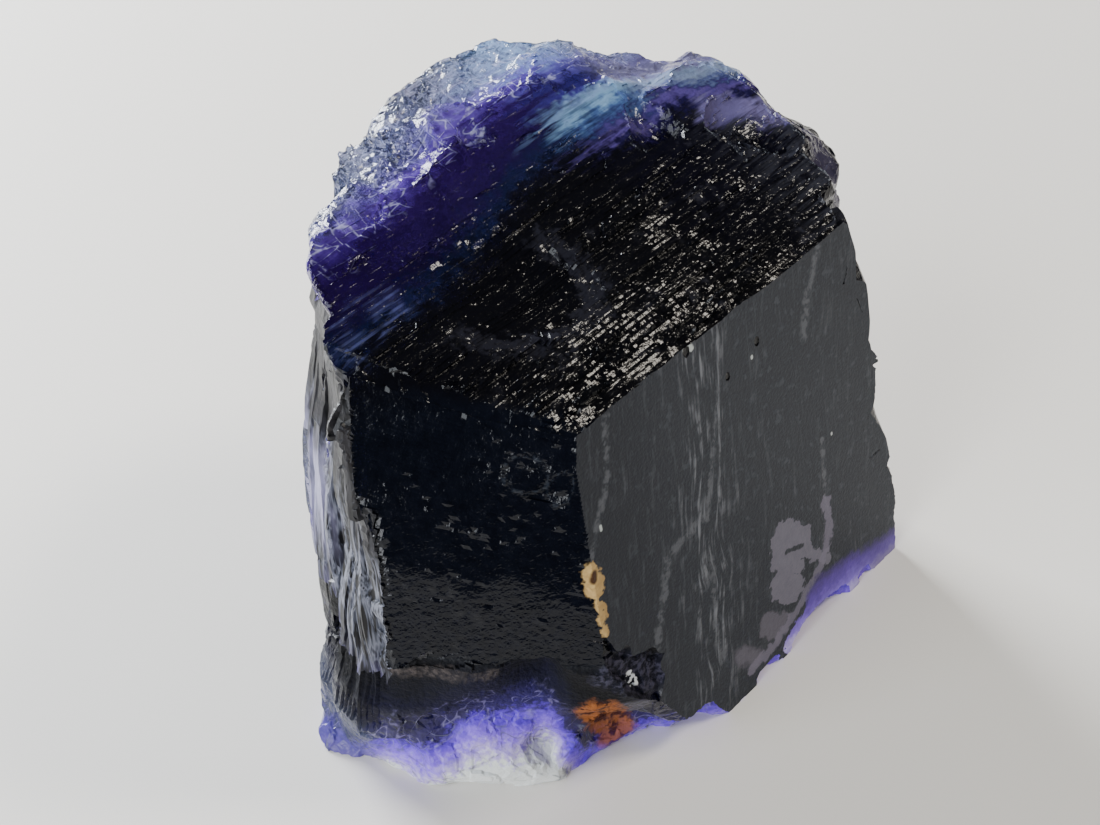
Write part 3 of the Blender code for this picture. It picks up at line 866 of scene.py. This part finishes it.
class Splinters(Surface):
    """The splintery left side: fibres with dark gaps. The silvery grey of the fibres is a painted sheen,
    standing in for the light they mirror at a grazing angle.
    """

    def __init__(self):
        super().__init__("splinters with painted sheen")
        level = self.along(UP, Vector())
        along = self.along(SIDE_DOWN, SIDE_TOP)
        across = self.along(SIDE_FORWARD, SIDE_TOP)
        bulge = self.along(SIDE_NORMAL, SIDE_TOP)
        wander = self.both(self.noise(self.place(along, across, 0.0), 6.0, 1.0), 3.0)
        fibre = self.noise(self.place(along, self.total(across, wander), bulge, 9.0), 0.8, 3.0, 0.72)
        # Painted sheen: the pale greys of the fibres stand in for the light they mirror at a grazing angle;
        # the darkest greys are the crystal's own black
        self.colour = self.ramp(fibre, 1.0, (
            (0.0, (4, 4, 8)), (0.452, (6, 6, 10)), (0.472, (50, 52, 62)), (0.51, (84, 87, 98)),
            (0.56, (124, 126, 139)), (0.60, (76, 78, 90)), (0.63, (10, 10, 16)), (0.90, (8, 8, 12))))

        # Lilac towards the rear, partly its own colour and partly painted glow of light shining through the
        # thin rear edge; brown black above, dark violet at the foot
        cloud = self.noise(self.place(along, across, bulge, 2.5), 2.6, 2.0, 0.6)
        swell = self.rise(cloud, 0.3, 0.7, -2.5, 2.5)
        height = self.total(level, swell)
        rear = self.where(
            (self.total(across, swell), -8.5, -12.5), (height, 23.0, 17.0), (height, 10.5, 15.0),
            (across, -19.0, -14.0))
        # partly painted glow: the palest lilac stands in for light shining through the rear edge
        self.paint(rear, self.blend(fibre, (84, 78, 120), (190, 188, 214)))
        brown = self.blend(self.rise(fibre, 0.36, 0.64), (7, 7, 10), (40, 39, 44))
        self.paint(self.rise(height, 18.5, 25.0), brown)
        violet = self.blend(self.rise(fibre, 0.48, 0.58), (12, 11, 30), (70, 64, 104))
        self.paint(self.rise(level, 12.5, 8.5), violet)
        self.finish(self.shift(fibre, 0.36, 0.56), fibre, 0.10)


class DarkFluorite(Surface):
    """Dark fluorite: colour zones that lie parallel to the right face, clear at the far rim and the foot."""

    def __init__(self):
        super().__init__("dark fluorite")
        self.run = self.along(EDGE_RUN)
        self.inward = self.along(INWARD)
        self.depth = self.along(-TOP_NORMAL)
        self.z = self.along(UP, Vector())
        self.x = self.along(Vector((1, 0, 0)), Vector())
        self.y = self.along(Vector((0, 1, 0)), Vector())
        self.ragged = self.noise(self.point, 0.8, 2.0, 0.65)
        self.mottle = self.noise(self.point, 0.45, 2.0, 0.6)
        self.cloud = self.noise(self.point, 3.2, 2.0, 0.6)
        self.fibre = self.noise(self.place(self.run, self.inward, self.depth, 8.0), 0.5, 2.0, 0.65)
        self.crust = self.centred(self.ragged, 1.3)
        self.zones()
        self.top_marks()
        self.far_corner()
        self.foot()
        self.hairlines()
        self.front()
        self.stains()
        self.gloss()
        self.inner_colour()

    def zones(self):
        """Colours by depth behind the right face. The pale ones come nearer at both ends of the top."""
        zone = self.total(
            self.along(-RIGHT_NORMAL), self.centred(self.fibre, 1.8), self.centred(self.cloud, 1.2),
            self.centred(self.ragged, 2.2), self.rise(self.run, 17.0, -2.0, 0.9, 3.7))
        low_left = self.where((self.z, 24.0, 12.0, 0.0, 5.0), (self.run, 2.0, -4.0))
        zone = self.minus(zone, low_left)
        self.zone = self.total(zone, self.rise(self.run, 26.0, 32.0, 0.0, 1.6))
        near_end = self.ramp(self.zone, ZONES_DEEP, NEAR_ZONES)
        far_end = self.ramp(self.zone, ZONES_DEEP, FAR_ZONES)
        blurred_run = self.total(self.run, self.rise(self.fibre, 0.3, 0.7, -2.5, 2.5))
        self.colour = self.blend(self.rise(blurred_run, 15.5, 23.5), near_end, far_end)
        self.clear = self.ramp(self.zone, ZONES_DEEP, CLEAR_ZONES)
        greyed = self.where((self.run, 23.5, 27.0, 0.0, 0.6), (self.zone, 14.5, 16.0))
        self.paint(greyed, self.blend(self.fibre, (96, 88, 124), (140, 142, 164)))
        crumpled = self.where((self.mottle, 0.50, 0.62), (self.zone, 20.0, 22.0))
        self.paint(crumpled, (58, 56, 88), 0.65)

    def oval_reach(self):
        """1 on the rim of the oval hollow of the top, less inside it and more outside."""
        run = self.minus(self.run, OVAL[0])
        inward = self.minus(self.inward, OVAL[1])
        cosine, sine = math.cos(OVAL_TURN), math.sin(OVAL_TURN)
        along = self.total(self.both(run, cosine), self.both(inward, sine))
        across = self.minus(self.both(inward, cosine), self.both(run, sine))
        return self.oval(along, across, *OVAL_HALF)

    def top_marks(self):
        """On the dark top: dull dusty places, the grey rim of the oval hollow, lilac bars at the left."""
        dark_top = self.where((self.zone, 13.0, 11.8), (self.z, 22.0, 27.0))
        dust = self.where((self.cloud, 0.54, 0.70), (self.ragged, 0.44, 0.66))
        reach = self.total(self.oval_reach(), self.centred(self.ragged, 0.9))
        rim = self.near(reach, 1.02, 0.04, 0.26)
        dust = self.any_of(self.both(dust, self.rise(reach, 0.85, 1.0)), rim)
        self.paint(self.both(dust, dark_top), (50, 50, 60), 0.38)
        dull = self.both(self.rise(self.run, 24.0, 29.0), self.rise(self.fibre, 0.40, 0.60), dark_top)
        self.paint(dull, (52, 53, 62), 0.6)
        stripes = self.math("PINGPONG", self.total(self.inward, 40.0), LILAC_STEP)
        stripes = self.rise(stripes, LILAC_STEP / 2, 0.75 * LILAC_STEP)
        bars = self.stroke(*LILAC_BARS, 2.2, 0.5, self.centred(self.cloud, 5.0))
        bars = self.both(bars, self.rise(stripes, 0.0, 1.0, 0.25, 1.0), self.rise(self.fibre, 0.40, 0.56))
        self.paint(self.both(bars, self.rise(self.cloud, 0.38, 0.52)), (92, 98, 148), 0.45)

    def far_corner(self):
        """Lilac bulges at the far right corner of the top."""
        bulge = self.stroke(on_top(28.8, 12.4), on_top(32.8, 9.6), 1.9, 0.7, self.centred(self.fibre, 4.0))
        corner = self.stroke((13.6, 13.0, 30.8), (16.4, 9.2, 28.4), 2.2, 0.5, self.both(self.ragged, 0.8))
        self.paint(bulge, self.blend(self.cloud, (52, 46, 86), (128, 120, 170)), 0.9)
        self.paint(corner, self.blend(self.cloud, (40, 38, 58), (104, 98, 128)), 0.9)
        self.clear = self.shift(corner, self.clear, 0.25)

    def foot(self):
        """The foot: black at the top of it, then violet, then white and clear. Its bright violet is partly
        painted glow of light shining through the thin foot.
        """
        self.foot_height = self.total(
            self.z, self.centred(self.cloud, 3.4), self.rise(self.mottle, 0.3, 0.7, -0.5, 0.5),
            self.rise(self.x, -14.0, -9.0, 2.8, 0.0), self.rise(self.x, -16.0, -19.0, 0.0, 2.4),
            self.rise(self.x, -5.4, -2.2, 0.0, 5.0))
        # the bright violet band of these colours is partly its own violet and partly painted glow
        shade = self.ramp(self.foot_height, FOOT_TOP, FOOT_COLOURS_WITH_GLOW)
        greyish = self.where((self.x, -15.0, -18.5, 0.0, 0.7), (self.z, 6.5, 4.0))
        shade = self.blend(greyish, shade, (72, 78, 98))
        far_left = self.where((self.x, -15.0, -17.5), (self.y, -5.0, -9.0))
        shade = self.blend(far_left, self.blend(1.0, self.colour, shade, "LIGHTEN"), shade)
        self.on_foot = self.rise(self.z, 12.9, 12.3)
        self.paint(self.on_foot, shade)
        clear = self.ramp(self.foot_height, FOOT_TOP, FOOT_CLEAR)
        clear = self.both(clear, self.rise(self.x, -18.0, -13.0, 0.2, 1.0))
        self.clear = self.shift(self.on_foot, self.clear, self.any_of(self.clear, clear))

    def hairlines(self):
        """White clouds, hairlines and cracks in the clear parts."""
        hair_place = self.place(self.run, self.inward, self.both(self.depth, 0.4), 3.5)
        hair_noise = self.noise(hair_place, 1.3, 1.0, 0.5, 0.6)
        cross_place = self.place(self.run, self.math("DIVIDE", self.inward, 2.5), self.depth)
        cross_noise = self.noise(cross_place, 2.4, 1.0, 0.5, 0.4)
        hairs = self.any_of(self.near(hair_noise, 0.5, 0.0, 0.022), self.near(cross_noise, 0.5, 0.0, 0.011))
        hairs = self.both(hairs, self.rise(self.ragged, 0.36, 0.56))
        wisps = self.both(
            hairs, self.rise(self.foot_height, 10.5, 8.0), self.rise(self.foot_height, 3.0, 4.5),
            self.rise(self.y, -10.0, -14.0), self.on_foot)
        self.paint(wisps, (150, 140, 196), 0.45)
        hairs = self.both(hairs, self.rise(self.clear, 0.16, 0.50), self.rise(self.z, 22.0, 31.0, 0.15, 1.0))
        veil = self.where((self.fibre, 0.48, 0.72), (self.cloud, 0.42, 0.66))
        white = self.any_of(hairs, self.both(veil, self.rise(self.clear, 0.50, 0.82)))
        white = self.both(white, 0.6)
        self.paint(white, (206, 206, 244))
        self.clear = self.less(self.clear, self.both(white, 0.7))
        cracks = self.both(
            self.near(cross_noise, 0.5, 0.0, 0.02), self.rise(self.z, 7.0, 5.0),
            self.rise(self.ragged, 0.40, 0.60))
        self.paint(cracks, (78, 84, 100), 0.6)

    def front(self):
        """The blue black of the front, and the rings on it."""
        front = self.where((self.along(FRONT_NORMAL), -2.0, -1.0), (self.z, 11.5, 13.0))
        self.paint(front, self.blend(self.ragged, (3, 4, 8), (12, 15, 26)))
        along, up = self.along(FRONT_RUN), self.along(FRONT_RISE)
        for ring_along, ring_up, half_width, half_height in FRONT_RINGS:
            reach = self.oval(self.minus(along, ring_along), self.minus(up, ring_up),
                              half_width, half_height)
            ring = self.near(self.total(reach, self.centred(self.ragged, 0.5)), 1.0, 0.02, 0.16)
            ring = self.both(ring, front, self.rise(self.mottle, 0.46, 0.58))
            self.paint(ring, (56, 62, 72), 0.35)

    def stains(self):
        """The tan crust, the worn line under the front, a rusty hollow at the foot, and a painted sparkle: a
        small bright highlight beside the hollow.
        """
        tan = self.tan_stain(self.crust)
        worn = self.stroke((-15.4, -18.7, 11.0), (-8.8, -19.5, 11.5), 0.85, 0.8, self.both(self.crust, 0.8))
        self.paint(self.both(worn, self.rise(self.mottle, 0.38, 0.62, 0.15, 0.7)), (84, 76, 74))
        hollow = self.stroke((-0.8, -19.2, 11.5), (2.2, -17.3, 8.4), 2.0, 0.5, self.crust)
        dents = self.rise(self.mottle, 0.42, 0.62)
        self.paint(hollow, self.blend(dents, (10, 12, 30), (66, 64, 82)), 0.8)
        rust = self.stroke((-1.6, -18.8, 6.8), (-0.3, -16.6, 1.6), 2.0, 0.5, self.crust)
        dark = self.rise(self.ragged, 0.46, 0.60)
        self.paint(rust, self.blend(dark, (152, 88, 42), (70, 28, 6)), 0.92)
        # Painted sparkle: a small bright highlight
        painted_sparkle = self.stroke((0.6, -18.6, 9.9), (0.9, -18.4, 9.0), 0.55, 0.2)
        self.paint(self.both(painted_sparkle, self.rise(self.mottle, 0.46, 0.52)), (230, 234, 240))
        self.stained = self.any_of(tan, rust)
        self.clear = self.less(self.clear, self.both(self.stained, 0.9))

    def gloss(self):
        """Glossy all over, but dull on the stains and on the worn ledge under the front."""
        roughness = self.shift(self.ragged, 0.06, 0.26)
        roughness = self.shift(self.stained, roughness, 0.75)
        ledge = self.where((self.z, 6.5, 8.0), (self.z, 13.0, 12.2), (self.y, -12.0, -14.0))
        roughness = self.shift(ledge, roughness, 0.85)
        bumps = self.both(self.mottle, self.rise(ledge, 0.0, 1.0, 1.0, 4.0))
        self.finish(roughness, self.total(self.fibre, bumps), 0.06)
        self.shader.inputs["Specular IOR Level"].default_value = 0.3

    def inner_colour(self):
        """Makes the clear parts see-through, and violet where they are thick."""
        self.feed(self.shader.inputs["Transmission Weight"], self.clear)
        absorption = self.tree.nodes.new("ShaderNodeVolumeAbsorption")
        absorption.inputs["Color"].default_value = (0.52, 0.42, 0.86, 1)
        absorption.inputs["Density"].default_value = 70.0
        output = self.tree.nodes["Material Output"]
        self.tree.links.new(absorption.outputs["Volume"], output.inputs["Volume"])


def on_left_side(centre, normal):
    """Whether a face with this centre and normal belongs to the splintery left side."""
    offset = centre - SIDE_TOP
    bulge = offset.dot(SIDE_NORMAL)
    across = offset.dot(SIDE_FORWARD)
    ragged = noise.noise(Vector((centre.x / 1.2, centre.y / 1.2, centre.z / 5.0)))
    rear = -18.0 + 0.2 * (33.0 - centre.z) + 5.0 * ragged
    low = 9.8 + 1.4 * ragged
    high = 33.5 + 2.0 * ragged
    if not low < centre.z < high or bulge < -4.5 or across < rear:
        return False
    if across > SIDE_FREE and centre.x > left_edge(centre.z):
        return False
    return bulge > -0.5 or (normal.dot(SIDE_NORMAL) > -0.3 and normal.dot(TOP_NORMAL) < 0.6)


def dress(crystal):
    """Gives the crystal its own finish, and the right face and the left side theirs."""
    for finish in (DarkFluorite(), RightFace(), Splinters()):
        crystal.data.materials.append(finish.material)
    for face in crystal.data.polygons:
        centre = face.center / MM
        if abs((centre - CORNER).dot(RIGHT_NORMAL)) < 0.03 and face.normal.dot(RIGHT_NORMAL) > 0.9:
            face.material_index = 1
        elif on_left_side(centre, face.normal):
            face.material_index = 2


def floor():
    bm = bmesh.new()
    bmesh.ops.create_grid(bm, x_segments=1, y_segments=1, size=1.5)
    plane = linked("table", bm)
    material = bpy.data.materials.new("pale table")
    material.use_nodes = True
    shader = material.node_tree.nodes["Principled BSDF"]
    shader.inputs["Base Color"].default_value = (0.80, 0.765, 0.715, 1)
    shader.inputs["Roughness"].default_value = 0.6
    plane.data.materials.append(material)


def softbox(name, toward, distance, size, power, colour=(1, 1, 1)):
    """A square soft light in the direction toward, which looks at the crystal. Lengths are in metres."""
    light = bpy.data.lights.new(name, "AREA")
    light.size = size
    light.energy = power
    light.color = colour
    obj = bpy.data.objects.new(name, light)
    away = Vector(toward).normalized()
    obj.location = UP * 16 * MM + away * distance
    obj.rotation_euler = (-away).to_track_quat("-Z", "Y").to_euler()
    bpy.context.scene.collection.objects.link(obj)


def studio():
    world = bpy.data.worlds.new("studio")
    world.use_nodes = True
    world.node_tree.nodes["Background"].inputs["Color"].default_value = (0.9, 0.93, 1.0, 1)
    world.node_tree.nodes["Background"].inputs["Strength"].default_value = 0.08
    bpy.context.scene.world = world
    softbox("key", (-0.62, -0.45, 0.62), 0.60, 0.35, 2.6, (0.88, 0.94, 1.0))
    softbox("glint", (0.62, 0.15, 0.77), 0.60, 0.14, 2.1, (1.0, 0.93, 0.82))
    softbox("back", (-0.62, 0.66, 0.36), 0.40, 0.20, 5.0, (0.92, 0.96, 1.0))
    softbox("fill", (-0.50, -0.83, 0.26), 0.50, 0.22, 1.5, (0.92, 0.96, 1.0))


def camera():
    lens = bpy.data.cameras.new("camera")
    lens.lens = LENS
    lens.sensor_width = SENSOR
    lens.clip_start = 0.01
    obj = bpy.data.objects.new("camera", lens)
    forward = Vector((0, math.cos(ELEVATION), -math.sin(ELEVATION)))
    obj.location = (AIM - forward * DISTANCE) * MM
    obj.rotation_euler = forward.to_track_quat("-Z", "Y").to_euler()
    bpy.context.scene.collection.objects.link(obj)
    bpy.context.scene.camera = obj


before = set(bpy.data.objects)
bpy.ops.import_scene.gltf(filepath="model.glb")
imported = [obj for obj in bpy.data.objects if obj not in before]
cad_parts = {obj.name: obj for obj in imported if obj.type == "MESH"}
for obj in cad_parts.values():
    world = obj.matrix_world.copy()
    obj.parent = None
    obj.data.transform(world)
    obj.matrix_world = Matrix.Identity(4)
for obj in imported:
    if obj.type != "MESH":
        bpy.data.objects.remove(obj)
cad_box = [list(corner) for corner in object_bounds()]
crystal = carved_crystal(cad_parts[NODE], cad_box)
dress(crystal)
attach(crystal, "root")
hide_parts(NODE)
floor()
studio()
camera()
